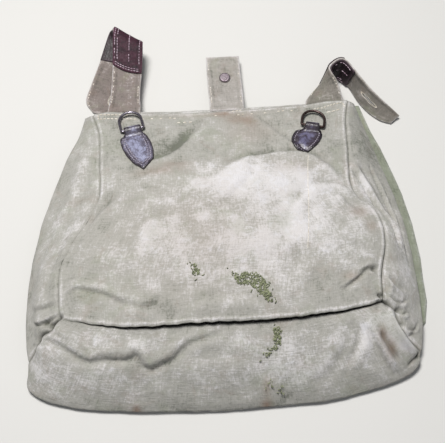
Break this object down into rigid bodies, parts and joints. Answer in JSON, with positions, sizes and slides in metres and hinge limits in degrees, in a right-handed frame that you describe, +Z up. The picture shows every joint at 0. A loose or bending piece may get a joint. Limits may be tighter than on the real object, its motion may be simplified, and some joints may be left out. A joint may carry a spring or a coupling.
{
  "type": "canvas haversack",
  "caption": "Field haversack of worn canvas lying on its closed flap: pouch with side and bottom gussets, leather-tabbed D-rings, buttoning belt loops and a strap with a belt hook.",
  "frame": {"origin": "middle of the underside of the bag as it lies, on the plane it lies on", "axes": "+X across the bag, to the right when its top edge is away from the viewer; +Y towards the top edge and its straps; +Z up, out of the back panel"},
  "size_m": [0.349, 0.3722, 0.048],
  "materials": {
    "canvas": "matte",
    "tab_leather": "polished",
    "loop_leather": "satin",
    "ring_steel": "worn",
    "hook_metal": "worn",
    "rivet_metal": "worn",
    "button": "satin"
  },
  "bodies": {
    "bag": {"back_panel": "canvas", "top_hem": "canvas", "side_gusset_left": "canvas", "side_gusset_right": "canvas", "bottom_gusset": "canvas", "front_panel": "canvas", "mouth_hem": "canvas", "flap_turn": "canvas", "ring_tab_left": "tab_leather", "ring_tab_right": "tab_leather", "front_button_left": "button", "front_button_right": "button"},
    "flap": {"flap_panel": "canvas", "flap_ring_tab_left": "tab_leather", "flap_ring_tab_right": "tab_leather", "flap_keeper_left": "tab_leather", "flap_keeper_right": "tab_leather", "closing_tab_left": "tab_leather", "closing_tab_right": "tab_leather"},
    "ring_left": {"ring_left": "ring_steel"},
    "ring_right": {"ring_right": "ring_steel"},
    "flap_ring_left": {"flap_ring_left": "ring_steel"},
    "flap_ring_right": {"flap_ring_right": "ring_steel"},
    "loop_left": {"loop_strap_left": "canvas", "loop_leather_left": "loop_leather", "loop_button_left": "button"},
    "loop_right": {"loop_strap_right": "canvas", "loop_leather_right": "loop_leather", "loop_button_right": "button"},
    "hook": {"hook_strap": "canvas", "belt_hook": "hook_metal", "hook_rivet": "rivet_metal"}
  },
  "joints": [
    {"name": "flap_hinge", "type": "hinge", "parent": "bag", "child": "flap", "pos_m": [0.00414, 0.09586, 0.0074], "axis": [1, 0, 0], "range_deg": [0, 120]},
    {"name": "ring_left_swing", "type": "hinge", "parent": "bag", "child": "ring_left", "pos_m": [-0.08101, 0.06414, 0.02933], "axis": [0.9781, 0.2079, 0.0002], "range_deg": [0, 160]},
    {"name": "flap_ring_left_swing", "type": "hinge", "parent": "flap", "child": "flap_ring_left", "pos_m": [-0.06986, 0.03986, 0.00363], "axis": [-1, 0, 0], "range_deg": [0, 160]},
    {"name": "ring_right_swing", "type": "hinge", "parent": "bag", "child": "ring_right", "pos_m": [0.08691, 0.05892, 0.03008], "axis": [0.9779, -0.209, -0.0068], "range_deg": [0, 160]},
    {"name": "flap_ring_right_swing", "type": "hinge", "parent": "flap", "child": "flap_ring_right", "pos_m": [0.07814, 0.03986, 0.00363], "axis": [-1, 0, 0], "range_deg": [0, 160]},
    {"name": "loop_left_lift", "type": "hinge", "parent": "bag", "child": "loop_left", "pos_m": [-0.09186, 0.09636, 0.018], "axis": [1, 0, 0], "range_deg": [0, 90]},
    {"name": "loop_right_lift", "type": "hinge", "parent": "bag", "child": "loop_right", "pos_m": [0.10314, 0.09636, 0.018], "axis": [1, 0, 0], "range_deg": [0, 90]},
    {"name": "hook_lift", "type": "hinge", "parent": "bag", "child": "hook", "pos_m": [0.00864, 0.09636, 0.018], "axis": [1, 0, 0], "range_deg": [0, 90]}
  ]
}
